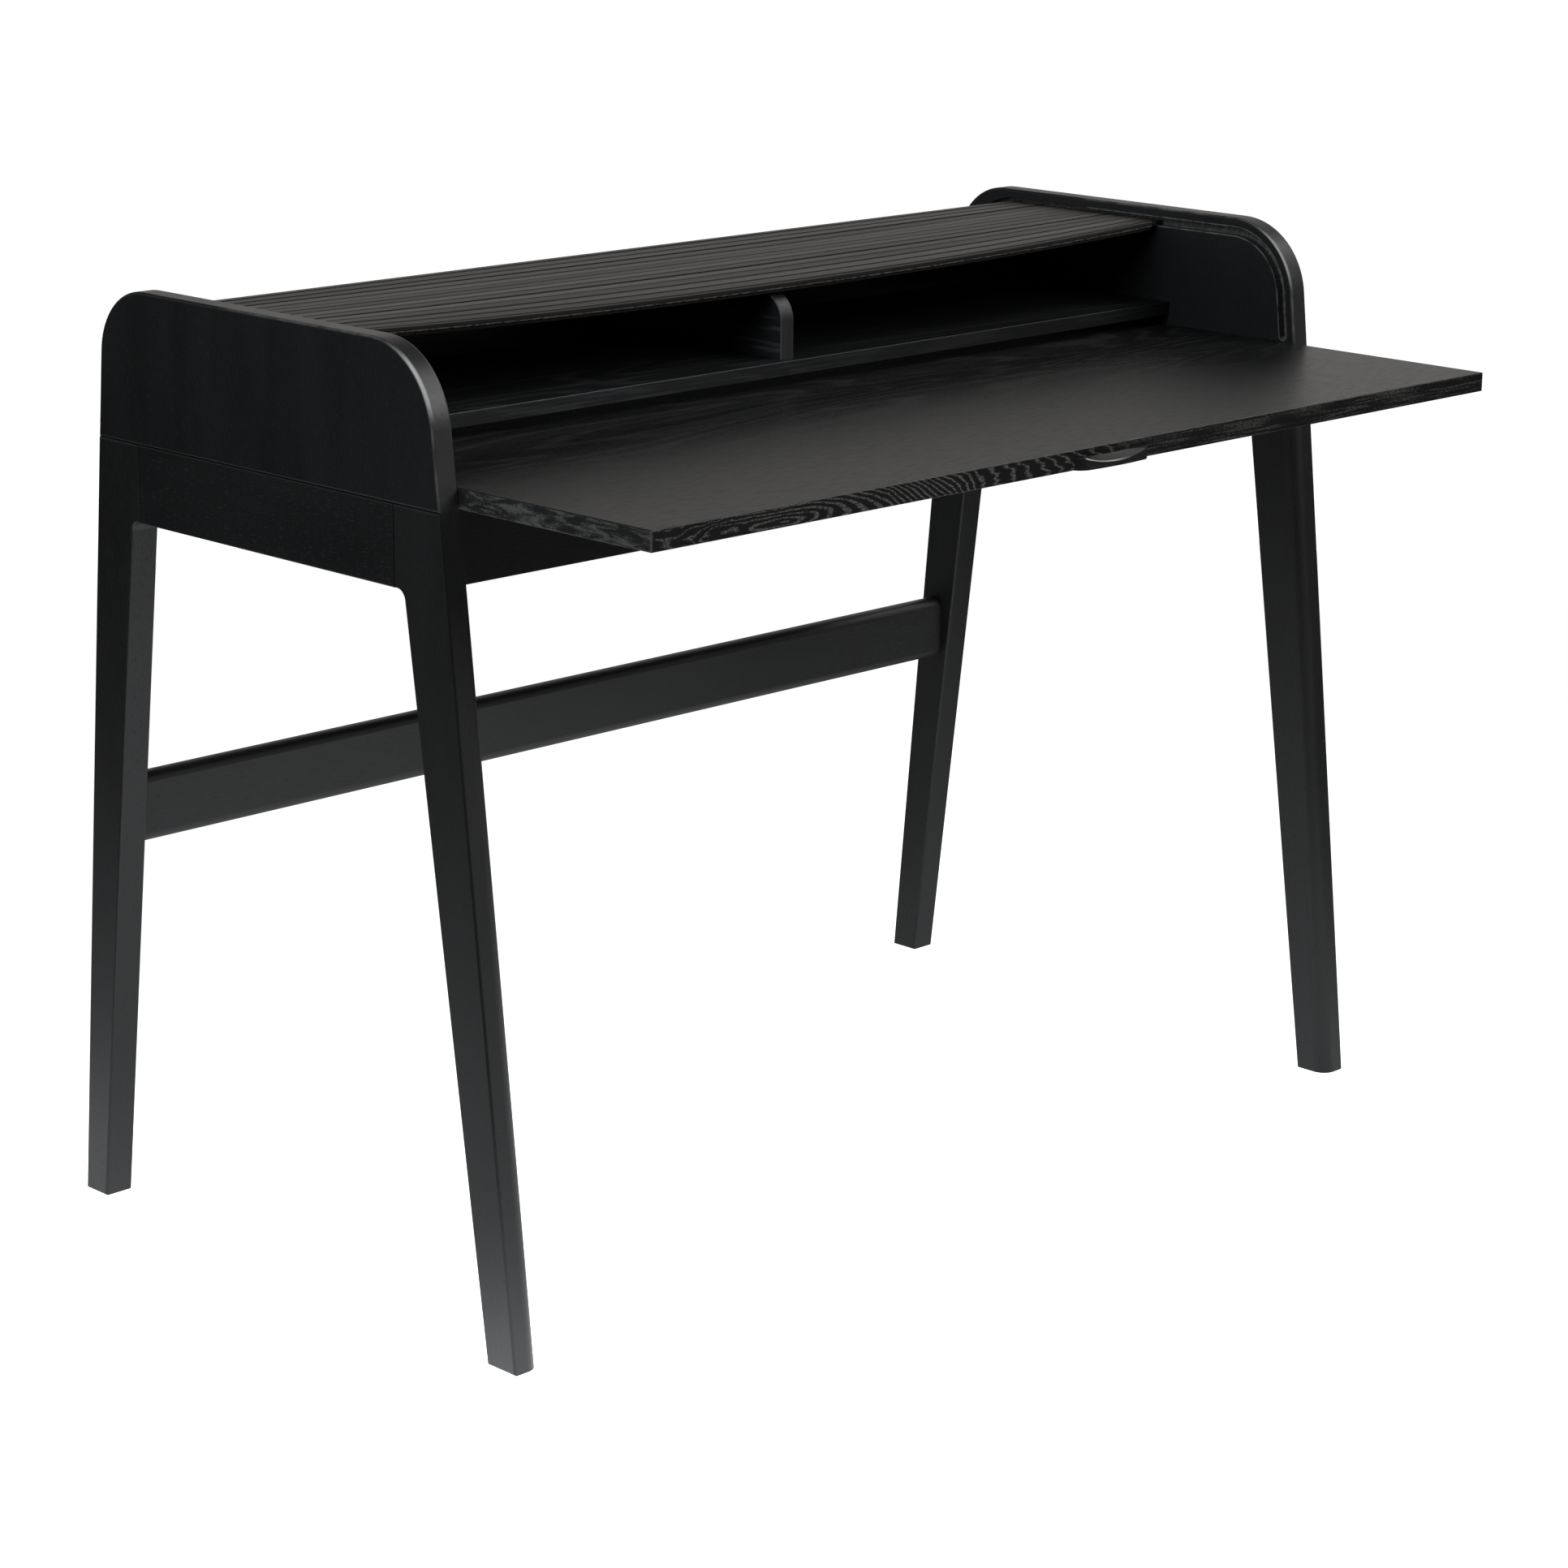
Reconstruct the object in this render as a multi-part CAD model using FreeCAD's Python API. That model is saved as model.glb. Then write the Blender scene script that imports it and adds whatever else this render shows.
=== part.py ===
import FreeCAD, Part
import math
import os

from FreeCAD import Vector

# A writing desk with a tambour shutter and a worktop that draws out.
# Millimetres. X to the right, Y to the back, Z up, floor at Z = 0.
# At rest the worktop is drawn out and the shutter is open.

# Side panels
case_width = 1100.0
panel_depth = 451.0
panel_height = 131.5
panel_thickness = 21.0
panel_front_radius = 75.0
panel_rear_radius = 61.0
panel_edge_ease = 2.5

# Legs and the side rails between them
base_height = 705.5
leg_thickness = 28.5
leg_edge_ease = 2.0
front_arris_radius = 14.0
rail_height = 68.5
rail_thickness = 21.0
rail_edge_ease = 1.5
shoulder_radius = 10.0
front_leg_top = 57.0
front_leg_knee = 45.8
front_leg_foot = 35.0
front_splay = 81.3
rear_leg_top = 55.5
rear_leg_knee = 43.6
rear_leg_foot = 30.4
rear_splay = 60.8

# Boards that tie the two side frames together
apron_thickness = 18.0
apron_headroom = 2.5
apron_edge_ease = 1.0
front_apron_setback = 26.0
rear_apron_setback = 8.0
stretcher_bottom = 334.5
stretcher_height = 63.5
stretcher_thickness = 20.0
stretcher_setback = -19.0
stretcher_edge_round = 9.0

# Worktop and its finger pull
worktop_rear_gap = 31.0
worktop_thickness = 17.5
worktop_draw = 220.0
worktop_side_gap = 0.7
worktop_lift = 0.5
worktop_edge_ease = 1.0
pull_width = 92.0
pull_reach = 9.0
pull_height = 10.0
pull_shoulder_shares = (0.73, 0.82)
pull_end_shares = (0.93, 0.42)
pull_dish_radius = 220.0
pull_dish_depth = 0.6
pull_dish_fall = 4.8

# Wooden runners under the worktop
runner_end_gap = 3.5
runner_thickness = 16.0
runner_height = 38.0
runner_headroom = 6.0
runner_groove_depth = 8.0
runner_groove_height = 14.0
slider_stop_gap = 6.0
slider_thickness = 18.0
runner_play = 0.4

# Fixed shelf, divider and inner back board
shelf_gap = 9.2
shelf_thickness = 13.3
shelf_setback = 159.0
shelf_edge_ease = 0.8
divider_thickness = 16.5
divider_offset = 5.2
divider_setback = 170.0
divider_corner_radius = 24.0
divider_edge_ease = 1.5
back_board_thickness = 6.0
back_board_rear_gap = 61.0
under_curtain_gap = 4.0

# Tambour shutter and its grooves
groove_margin = 9.3
groove_width = 8.3
groove_depth = 8.0
groove_end_rise = 25.2
groove_bend_radius = 76.7
channel_inner_play = 3.7
channel_outer_play = 1.0
channel_lead = 4.4
channel_wall = 4.4
slat_pitch = 15.1
slat_gap = 1.0
slat_thickness = 7.4
slat_edge_round = 1.3
slat_end_play = 0.8
slat_shoulder_gap = 0.6
tongue_thickness = 5.0
tongue_play = 0.3
tail_end_gap = 4.0
lead_rail_width = 20.0
lead_rail_setback = 176.0
lead_rail_nose_round = 2.8
canvas_thickness = 0.6
canvas_side_margin = 10.0
travel_pitches = 6

# Dowels and screws
dowel_diameter = 8.0
dowel_length = 36.0
shelf_dowel_diameter = 6.0
shelf_dowel_length = 26.0
dowel_play = 0.1
dowel_end_play = 0.5
screw_diameter = 4.0
runner_screw_length = 20.0
slider_screw_length = 40.0
screw_head_diameter = 8.0
screw_head_height = 3.0
screw_play = 0.1
cut_overrun = 5.0
pick_tolerance = 0.05

# Places of repeated fasteners, as shares of the piece that holds them
panel_dowel_shares = (0.065, 0.3, 0.7, 0.94)
rail_dowel_height_shares = (0.2, 0.75)
cross_dowel_height_shares = (0.38, 0.62)
shelf_dowel_shares = (0.2, 0.8)
divider_dowel_shares = (0.22, 0.78)
screw_shares = (0.15, 0.5, 0.85)

# Heights and places that follow from the sizes above
case_half = case_width / 2
overall_back = (panel_depth + rear_splay + worktop_draw + pull_reach) / 2
case_back = overall_back - rear_splay
case_front = case_back - panel_depth
panel_inner = case_half - panel_thickness
leg_inner = case_half - leg_thickness
rail_inner = case_half - rail_thickness
panel_top = base_height + panel_height
rail_bottom = base_height - rail_height
apron_top = base_height - apron_headroom
worktop_bottom = base_height + worktop_lift
worktop_top = worktop_bottom + worktop_thickness
worktop_front = case_front - worktop_draw
worktop_back = case_back - worktop_rear_gap - worktop_draw
shelf_bottom = worktop_top + shelf_gap
shelf_top = shelf_bottom + shelf_thickness
shelf_front = case_front + shelf_setback
shelf_back = case_back - back_board_rear_gap
back_board_front = shelf_back - back_board_thickness
rail_front = case_front + front_leg_top
rail_back = case_back - rear_leg_top
runner_back = rail_back - runner_end_gap
front_apron_front = case_front + front_apron_setback
slider_front = front_apron_front + apron_thickness + slider_stop_gap

# Line of the shutter: flat, round the rear corner, then down
rear_lean = rear_splay / base_height
groove_outer = groove_bend_radius
groove_inner = groove_outer - groove_width
channel_inner = groove_inner - channel_inner_play
channel_outer = groove_outer + channel_outer_play
slat_outer = groove_inner + tongue_play + tongue_thickness
slat_middle = slat_outer - slat_thickness / 2
canvas_radius = slat_outer - slat_thickness
sweep_inner = canvas_radius - channel_inner_play
corner_height = panel_top - groove_margin - groove_outer
rear_corner = case_back - rear_lean * (corner_height - base_height) - channel_wall - channel_outer
arc_run = canvas_radius * math.pi / 2
slat_width = slat_pitch - slat_gap
slat_half_length = panel_inner + groove_depth - slat_end_play
lead_front = case_front + lead_rail_setback
lead_back = lead_front + lead_rail_width
first_slat = lead_back + slat_gap + slat_width / 2 - rear_corner
tail_run = arc_run + corner_height - base_height - tail_end_gap
slat_count = 1 + int((tail_run - slat_width / 2 - first_slat) // slat_pitch)
shutter_travel = travel_pitches * slat_pitch
channel_front = rear_corner - shutter_travel - channel_lead
under_curtain = corner_height + sweep_inner - under_curtain_gap
board_past_corner = max(shelf_back - rear_corner, 0)
back_board_top = under_curtain - sweep_inner + math.sqrt(sweep_inner ** 2 - board_past_corner ** 2)

ALONG_X = Vector(1, 0, 0)
ALONG_Y = Vector(0, 1, 0)
UP = Vector(0, 0, 1)

# The panels' front edges carry on the lean of the front legs
FRONT_EDGE = Vector(0, front_splay, base_height).normalize()
FRONT_INWARD = Vector(0, FRONT_EDGE.z, -FRONT_EDGE.y)


def block(x, y, z):
    """A box between two X, two Y and two Z values."""
    low = Vector(x[0], y[0], z[0])
    return Part.makeBox(x[1] - x[0], y[1] - y[0], z[1] - z[0], low)


def mirrored(shape):
    """The same piece for the other side of the desk."""
    return shape.mirror(Vector(0, 0, 0), ALONG_X)


def rod(centre, axis, diameter, length):
    """A round bar centred on a point."""
    return Part.makeCylinder(diameter / 2, length, centre - axis * (length / 2), axis)


def line(start, end):
    return Part.LineSegment(start, end).toShape()


def arc(start, middle, end):
    return Part.Arc(start, middle, end).toShape()


def prism(edges, direction):
    """A closed outline drawn out along a direction."""
    return Part.Face(Part.Wire(edges)).extrude(direction)


def corner_arc(before, corner, after, radius):
    """The start, middle and end of the arc that rounds a corner."""
    to_before = (before - corner).normalize()
    to_after = (after - corner).normalize()
    half_angle = to_before.getAngle(to_after) / 2
    reach = radius / math.tan(half_angle)
    bisector = (to_before + to_after).normalize()
    middle = corner + bisector * (radius / math.sin(half_angle) - radius)
    return corner + to_before * reach, middle, corner + to_after * reach


def edges_at(shape, picks):
    return [edge for edge in shape.Edges if picks(edge.CenterOfMass, edge.BoundBox)]


def eased_sides(shape, radius):
    """Soften the outline of a board on both of its X faces."""
    bounds = shape.BoundBox
    faces = (bounds.XMin, bounds.XMax)
    edges = edges_at(shape, lambda c, box: near(box.XMin, box.XMax) and any(near(c.x, x) for x in faces))
    return shape.makeFillet(radius, edges)


def near(a, b):
    return math.isclose(a, b, abs_tol=pick_tolerance)


def eased_along_x(shape, radius):
    """Soften every straight edge of a board that runs along X."""
    bounds = shape.BoundBox
    edges = edges_at(shape, lambda c, box: near(box.XMin, bounds.XMin) and near(box.XMax, bounds.XMax))
    return shape.makeFillet(radius, edges)


def quarter_ring(y, z, inner, outer, x):
    """A quarter of a ring in the YZ plane, above and behind its centre."""
    start = Vector(x[0], y, z)
    width = x[1] - x[0]
    ring = Part.makeCylinder(outer, width, start, ALONG_X)
    ring = ring.cut(Part.makeCylinder(inner, width, start, ALONG_X))
    return ring.common(block(x, (y, y + outer), (z, z + outer)))


def front_point(x, up, inset):
    """A point that lies so far up the leaning front edge of a panel, and so far inside it."""
    return Vector(x, case_front, base_height) + FRONT_EDGE * up + FRONT_INWARD * inset


def front_corner(x, inset):
    """Where the lines that lie so far inside the front edge and the top of a panel cross."""
    up = (panel_height - inset + inset * FRONT_EDGE.y) / FRONT_EDGE.z
    return front_point(x, up, inset)


def groove_outline(x):
    """The narrow groove, from its blind front end round the front corner to the rear corner."""
    inner_inset = groove_margin + groove_width
    tip = front_point(x, groove_end_rise - groove_width / 2, groove_margin + groove_width / 2)
    outer_low = front_point(x, groove_end_rise, groove_margin)
    inner_low = front_point(x, groove_end_rise, inner_inset)
    outer_back = Vector(x, rear_corner, corner_height + groove_outer)
    inner_back = Vector(x, rear_corner, corner_height + groove_inner)
    outer_radius = panel_front_radius - groove_margin
    outer = corner_arc(outer_back, front_corner(x, groove_margin), outer_low, outer_radius)
    inner = corner_arc(inner_low, front_corner(x, inner_inset), inner_back, outer_radius - groove_width)
    return [
        line(outer_back, outer[0]),
        arc(*outer),
        line(outer[2], outer_low),
        arc(outer_low, tip, inner_low),
        line(inner_low, inner[0]),
        arc(*inner),
        line(inner[2], inner_back),
        line(inner_back, outer_back),
    ]


def groove_cutters(x):
    """The shutter's groove: blind at the front, wider round the rear where the slats turn."""
    wide = (corner_height + channel_inner, corner_height + channel_outer)
    down = (rear_corner + channel_inner, rear_corner + channel_outer)
    return [
        prism(groove_outline(x[0]), ALONG_X * (x[1] - x[0])),
        block(x, (channel_front, rear_corner), wide),
        quarter_ring(rear_corner, corner_height, channel_inner, channel_outer, x),
        block(x, down, (base_height - cut_overrun, corner_height)),
    ]


def left_panel():
    """A side panel whose front and rear edges run on from the legs."""
    x = -case_half
    bottom_front = front_point(x, 0, 0)
    bottom_back = Vector(x, case_back, base_height)
    top_front = front_corner(x, 0)
    top_back = Vector(x, case_back - rear_lean * panel_height, panel_top)
    rear = corner_arc(bottom_back, top_back, top_front, panel_rear_radius)
    front = corner_arc(top_back, top_front, bottom_front, panel_front_radius)
    outline = [
        line(bottom_front, bottom_back),
        line(bottom_back, rear[0]),
        arc(*rear),
        line(rear[2], front[0]),
        arc(*front),
        line(front[2], bottom_front),
    ]
    panel = eased_sides(prism(outline, ALONG_X * panel_thickness), panel_edge_ease)
    return panel.cut(groove_cutters((-panel_inner - groove_depth, -panel_inner + cut_overrun)))


def left_leg(edge, inward, top, knee, foot, splay):
    """A splayed, tapering leg. Depths run inward from the case edge it stands under."""
    def place(depth, height):
        return Vector(-case_half, edge + inward * depth, height)

    top_outer = place(0, base_height)
    top_inner = place(top, base_height)
    seam = place(top, rail_bottom)
    knee_point = place(knee, rail_bottom)
    foot_inner = place(foot - splay, 0)
    foot_outer = place(-splay, 0)
    start, middle, end = corner_arc(seam, knee_point, foot_inner, shoulder_radius)
    outline = [
        line(top_outer, top_inner),
        line(top_inner, seam),
        line(seam, start),
        arc(start, middle, end),
        line(end, foot_inner),
        line(foot_inner, foot_outer),
        line(foot_outer, top_outer),
    ]
    return prism(outline, ALONG_X * leg_thickness)


def left_front_leg():
    leg = left_leg(case_front, 1, front_leg_top, front_leg_knee, front_leg_foot, front_splay)
    lean = front_splay / base_height

    def behind_front(c):
        return c.y - (case_front - lean * (base_height - c.z))

    inner_arris = edges_at(leg, lambda c, box: near(box.XMin, -leg_inner) and near(behind_front(c), 0))
    leg = leg.makeFillet(front_arris_radius, inner_arris)
    outer = edges_at(leg, lambda c, box: near(box.XMax, -case_half))
    leg = leg.makeFillet(leg_edge_ease, outer)
    inner = edges_at(leg, lambda c, box: near(box.XMin, -leg_inner)
                     and box.ZLength > pick_tolerance and behind_front(c) > front_leg_foot - leg_edge_ease)
    return leg.makeFillet(leg_edge_ease, inner)


def left_rear_leg():
    leg = left_leg(case_back, -1, rear_leg_top, rear_leg_knee, rear_leg_foot, rear_splay)
    return eased_sides(leg, leg_edge_ease)


def left_rail():
    rail = block((-case_half, -rail_inner), (rail_front, rail_back), (rail_bottom, base_height))
    outer = edges_at(rail, lambda c, box: near(box.XMax, -case_half))
    return rail.makeFillet(rail_edge_ease, outer)


def cross_board(front, thickness, bottom, top, ease):
    """A board from leg to leg."""
    board = block((-leg_inner, leg_inner), (front, front + thickness), (bottom, top))
    return eased_along_x(board, ease)


def worktop():
    half = panel_inner - worktop_side_gap
    board = block((-half, half), (worktop_front, worktop_back), (worktop_bottom, worktop_top))
    return board.makeFillet(worktop_edge_ease, board.Edges)


def worktop_pull():
    """A blunt-ended lip on the lower half of the worktop's front edge, dished so that its rim dips."""
    def place(width_share, reach_share):
        return Vector(width_share * pull_width / 2, worktop_front - reach_share * pull_reach, worktop_bottom)

    shoulder_width, shoulder_reach = pull_shoulder_shares
    end_width, end_reach = pull_end_shares
    left, right = place(-1, 0), place(1, 0)
    left_shoulder = place(-shoulder_width, shoulder_reach)
    right_shoulder = place(shoulder_width, shoulder_reach)
    outline = [
        line(right, left),
        arc(left, place(-end_width, end_reach), left_shoulder),
        arc(left_shoulder, place(0, 1), right_shoulder),
        arc(right_shoulder, place(end_width, end_reach), right),
    ]
    lip = prism(outline, UP * pull_height)
    fall = math.atan2(pull_dish_fall, pull_reach)
    outward = Vector(0, -math.cos(fall), -math.sin(fall))
    above = Vector(0, -math.sin(fall), math.cos(fall))
    lowest = Vector(0, worktop_front, worktop_bottom + pull_height - pull_dish_depth)
    return lip.cut(rod(lowest + above * pull_dish_radius, outward, 2 * pull_dish_radius, pull_width))


def runner_groove():
    top = base_height - runner_headroom
    middle = top - runner_height / 2
    return top, middle - runner_groove_height / 2, middle + runner_groove_height / 2


def left_runner():
    """A grooved bar fixed to the side rail."""
    top, low, high = runner_groove()
    inner = -rail_inner + runner_thickness
    y = (rail_front, runner_back)
    bar = block((-rail_inner, inner), y, (top - runner_height, top))
    groove = block((inner - runner_groove_depth, inner + cut_overrun), y, (low, high))
    return bar.cut(groove)


def left_slider():
    """A bar under the worktop whose tongue runs in the fixed runner's groove."""
    top, low, high = runner_groove()
    face = -rail_inner + runner_thickness + runner_play
    y = (slider_front, worktop_back)
    bar = block((face, face + slider_thickness), y, (low + runner_play, worktop_bottom))
    tongue_tip = face - runner_groove_depth
    tongue = block((tongue_tip, face), y, (low + runner_play, high - runner_play))
    return bar.fuse(tongue).removeSplitter()


def shelf():
    board = block((-panel_inner, panel_inner), (shelf_front, shelf_back), (shelf_bottom, shelf_top))
    front = edges_at(board, lambda c, box: near(box.YMax, shelf_front) and box.XLength > panel_inner)
    return board.makeFillet(shelf_edge_ease, front)


def divider():
    x = divider_offset - divider_thickness / 2
    front = case_front + divider_setback
    foot_front = Vector(x, front, shelf_top)
    foot_back = Vector(x, back_board_front, shelf_top)
    top_back = Vector(x, back_board_front, back_board_top)
    corner = Vector(x, front, back_board_top)
    start, middle, end = corner_arc(top_back, corner, foot_front, divider_corner_radius)
    outline = [
        line(foot_front, foot_back),
        line(foot_back, top_back),
        line(top_back, start),
        arc(start, middle, end),
        line(end, foot_front),
    ]
    board = prism(outline, ALONG_X * divider_thickness)
    shown = edges_at(board, lambda c, box: box.XLength < pick_tolerance
                     and c.y < back_board_front - pick_tolerance and c.z > shelf_top + pick_tolerance)
    return board.makeFillet(divider_edge_ease, shown)


def back_board():
    return block((-panel_inner, panel_inner), (back_board_front, shelf_back), (shelf_top, back_board_top))


def station(run):
    """Middle and tilt of a slat, run millimetres along the canvas past the start of the rear corner."""
    corner = Vector(0, rear_corner, corner_height)
    tilt = min(max(run, 0), arc_run) / canvas_radius
    past_flat = min(run, 0)
    past_arc = max(run - arc_run, 0)
    along = Vector(0, slat_middle * math.sin(tilt) + past_flat, slat_middle * math.cos(tilt) - past_arc)
    return corner + along, tilt


def tongued(bar, top):
    """Cut the ends of a shutter bar from below, down to the tongues that run in the grooves."""
    shoulder = panel_inner - slat_shoulder_gap
    y = (bar.BoundBox.YMin - cut_overrun, bar.BoundBox.YMax + cut_overrun)
    z = (top - slat_thickness - cut_overrun, top - tongue_thickness)
    return bar.cut([block((-case_half, -shoulder), y, z), block((shoulder, case_half), y, z)])


def slat(index):
    middle, tilt = station(first_slat + index * slat_pitch)
    half_width = slat_width / 2
    half_thickness = slat_thickness / 2
    x = (-slat_half_length, slat_half_length)
    bar = block(x, (-half_width, half_width), (-half_thickness, half_thickness))
    bar = tongued(eased_along_x(bar, slat_edge_round), half_thickness)
    bar.rotate(Vector(0, 0, 0), ALONG_X, -math.degrees(tilt))
    bar.translate(middle)
    return bar


def lead_rail():
    middle = corner_height + slat_middle
    z = (middle - slat_thickness / 2, middle + slat_thickness / 2)
    bar = block((-slat_half_length, slat_half_length), (lead_front, lead_back), z)
    nose = edges_at(bar, lambda c, box: near(box.YMax, lead_front) and box.XLength > panel_inner)
    bar = bar.makeFillet(lead_rail_nose_round, nose)
    heel = edges_at(bar, lambda c, box: near(box.YMin, lead_back) and box.XLength > panel_inner)
    return tongued(bar.makeFillet(slat_edge_round, heel), z[1])


def flat_slats():
    """How many slats lie flat when the shutter is open."""
    return sum(1 for i in range(slat_count) if first_slat + i * slat_pitch + slat_width / 2 <= slat_gap)


def canvas():
    """The backing cloth under the flat slats."""
    half = panel_inner - canvas_side_margin
    top = corner_height + canvas_radius
    back = rear_corner + first_slat + (flat_slats() - 1) * slat_pitch + slat_width / 2
    return block((-half, half), (lead_front + lead_rail_nose_round, back), (top - canvas_thickness, top))


def between(low, high, share):
    return low + (high - low) * share


def both_sides(points):
    return [Vector(side * p.x, p.y, p.z) for side in (-1, 1) for p in points]


def dowel_set(points, axis, diameter, length):
    """Dowels, and the holes that take them."""
    dowels = [rod(p, axis, diameter, length) for p in points]
    holes = [rod(p, axis, diameter + 2 * dowel_play, length + 2 * dowel_end_play) for p in points]
    return dowels, holes


def screw_set(points, axis, length):
    """Screws driven along an axis from the given head faces, and their holes."""
    screws = []
    holes = []
    for head in points:
        shank = head + axis * screw_head_height
        screws.append(Part.makeCylinder(screw_head_diameter / 2, screw_head_height, head, axis).fuse(
            Part.makeCylinder(screw_diameter / 2, length, shank, axis)))
        seat = Part.makeCylinder(screw_head_diameter / 2 + screw_play, screw_head_height, head, axis)
        bore = Part.makeCylinder(screw_diameter / 2 + screw_play, length + dowel_end_play, shank, axis)
        holes.append(seat.fuse(bore))
    return screws, holes


def panel_dowel_points():
    x = (case_half + panel_inner) / 2
    return both_sides([Vector(x, between(case_front, case_back, s), base_height) for s in panel_dowel_shares])


def side_rail_dowel_points():
    x = (case_half + rail_inner) / 2
    return both_sides([Vector(x, y, between(rail_bottom, base_height, s))
                       for y in (rail_front, rail_back) for s in rail_dowel_height_shares])


def cross_dowel_points(front, thickness, bottom, top):
    y = front + thickness / 2
    return both_sides([Vector(leg_inner, y, between(bottom, top, s)) for s in cross_dowel_height_shares])


def shelf_dowel_points():
    z = (shelf_bottom + shelf_top) / 2
    return both_sides([Vector(panel_inner, between(shelf_front, shelf_back, s), z)
                       for s in shelf_dowel_shares])


def divider_dowel_points():
    front = case_front + divider_setback
    z = shelf_top - shelf_thickness / 2 + shelf_dowel_length / 2 - dowel_end_play
    return [Vector(divider_offset, between(front, back_board_front, s), z) for s in divider_dowel_shares]


def runner_screw_points():
    """Heads flush with the bottom of the fixed runner's groove, on the left side."""
    x = -rail_inner + runner_thickness - runner_groove_depth
    z = base_height - runner_headroom - runner_height / 2
    return [Vector(x, between(rail_front, runner_back, s), z) for s in screw_shares]


def slider_screw_points():
    """Heads flush with the underside of the slider, on the left side."""
    x = -rail_inner + runner_thickness + runner_play + slider_thickness / 2
    z = runner_groove()[1] + runner_play
    return [Vector(x, between(slider_front, worktop_back, s), z) for s in screw_shares]


def build():
    """Every piece of the desk, by name."""
    rear_apron_front = case_back - rear_apron_setback - apron_thickness
    stretcher_front = case_back - stretcher_setback - stretcher_thickness
    stretcher_top = stretcher_bottom + stretcher_height
    front_apron = (front_apron_front, apron_thickness, rail_bottom, apron_top)
    rear_apron = (rear_apron_front, apron_thickness, rail_bottom, base_height)
    stretcher = (stretcher_front, stretcher_thickness, stretcher_bottom, stretcher_top)

    panel_dowels, panel_holes = dowel_set(panel_dowel_points(), UP, dowel_diameter, dowel_length)
    rail_dowels, rail_holes = dowel_set(side_rail_dowel_points(), ALONG_Y, dowel_diameter, dowel_length)
    cross_points = sum((cross_dowel_points(*board) for board in (front_apron, rear_apron, stretcher)), [])
    cross_dowels, cross_holes = dowel_set(cross_points, ALONG_X, dowel_diameter, dowel_length)
    shelf_dowel = (shelf_dowel_diameter, shelf_dowel_length)
    shelf_dowels, shelf_holes = dowel_set(shelf_dowel_points(), ALONG_X, *shelf_dowel)
    divider_dowels, divider_holes = dowel_set(divider_dowel_points(), UP, *shelf_dowel)
    runner_screws, runner_holes = screw_set(runner_screw_points(), -ALONG_X, runner_screw_length)
    slider_screws, slider_holes = screw_set(slider_screw_points(), UP, slider_screw_length)
    slider_holes_both = slider_holes + [mirrored(hole) for hole in slider_holes]

    left = {
        "side_panel": left_panel().cut(panel_holes + shelf_holes),
        "front_leg": left_front_leg().cut(panel_holes + rail_holes + cross_holes),
        "rear_leg": left_rear_leg().cut(panel_holes + rail_holes + cross_holes),
        "side_rail": left_rail().cut(panel_holes + rail_holes + runner_holes),
        "fixed_runner": left_runner().cut(runner_holes),
        "worktop_slider": left_slider().cut(slider_holes),
    }
    pieces = {}
    for name, shape in left.items():
        pieces["left_" + name] = shape
        pieces["right_" + name] = mirrored(shape)
    pieces["front_apron"] = cross_board(*front_apron, apron_edge_ease).cut(cross_holes)
    pieces["rear_apron"] = cross_board(*rear_apron, apron_edge_ease).cut(cross_holes)
    pieces["rear_stretcher"] = cross_board(*stretcher, stretcher_edge_round).cut(cross_holes)
    pieces["worktop"] = worktop().cut(slider_holes_both)
    pieces["worktop_pull"] = worktop_pull()
    pieces["shelf"] = shelf().cut(shelf_holes + divider_holes)
    pieces["shelf_divider"] = divider().cut(divider_holes)
    pieces["inner_back_board"] = back_board()
    pieces["tambour_lead_rail"] = lead_rail()
    for index in range(slat_count):
        pieces["tambour_slat_%02d" % (index + 1)] = slat(index)
    pieces["tambour_canvas"] = canvas()
    pieces["panel_dowels"] = Part.makeCompound(panel_dowels)
    pieces["side_rail_dowels"] = Part.makeCompound(rail_dowels)
    pieces["cross_board_dowels"] = Part.makeCompound(cross_dowels)
    pieces["shelf_dowels"] = Part.makeCompound(shelf_dowels + divider_dowels)
    pieces["runner_screws"] = Part.makeCompound(runner_screws + [mirrored(s) for s in runner_screws])
    pieces["slider_screws"] = Part.makeCompound(slider_screws + [mirrored(s) for s in slider_screws])
    return pieces


def main():
    os.makedirs("parts", exist_ok=True)
    for name, shape in build().items():
        shape.exportStep("parts/" + name + ".step")


if __name__ == "__main__":
    main()
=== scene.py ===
import math

import bmesh
import bpy
from mathutils import Matrix, Vector


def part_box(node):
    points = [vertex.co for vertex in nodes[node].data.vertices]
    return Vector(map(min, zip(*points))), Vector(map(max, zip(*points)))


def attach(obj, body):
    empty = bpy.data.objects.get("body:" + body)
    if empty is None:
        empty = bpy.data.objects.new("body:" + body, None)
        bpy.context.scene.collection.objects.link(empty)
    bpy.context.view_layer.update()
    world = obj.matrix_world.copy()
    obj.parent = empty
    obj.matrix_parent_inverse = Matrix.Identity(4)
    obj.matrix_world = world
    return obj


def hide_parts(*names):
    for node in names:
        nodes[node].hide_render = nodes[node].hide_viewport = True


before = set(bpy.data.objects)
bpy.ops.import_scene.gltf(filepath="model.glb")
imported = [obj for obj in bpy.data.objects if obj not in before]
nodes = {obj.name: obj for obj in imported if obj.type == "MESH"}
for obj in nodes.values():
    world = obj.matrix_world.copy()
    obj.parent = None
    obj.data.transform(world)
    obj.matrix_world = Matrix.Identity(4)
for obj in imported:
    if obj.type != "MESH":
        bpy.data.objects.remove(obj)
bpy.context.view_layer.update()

# The side panels: the front edge's lean, the rounded corner, and the groove that runs inside the outline.
panel_low, panel_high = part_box("right_side_panel")
inner_face = panel_low.x
panel_middle = (panel_low.x + panel_high.x) / 2
half_panel = (panel_high.x - panel_low.x) / 2
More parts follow.
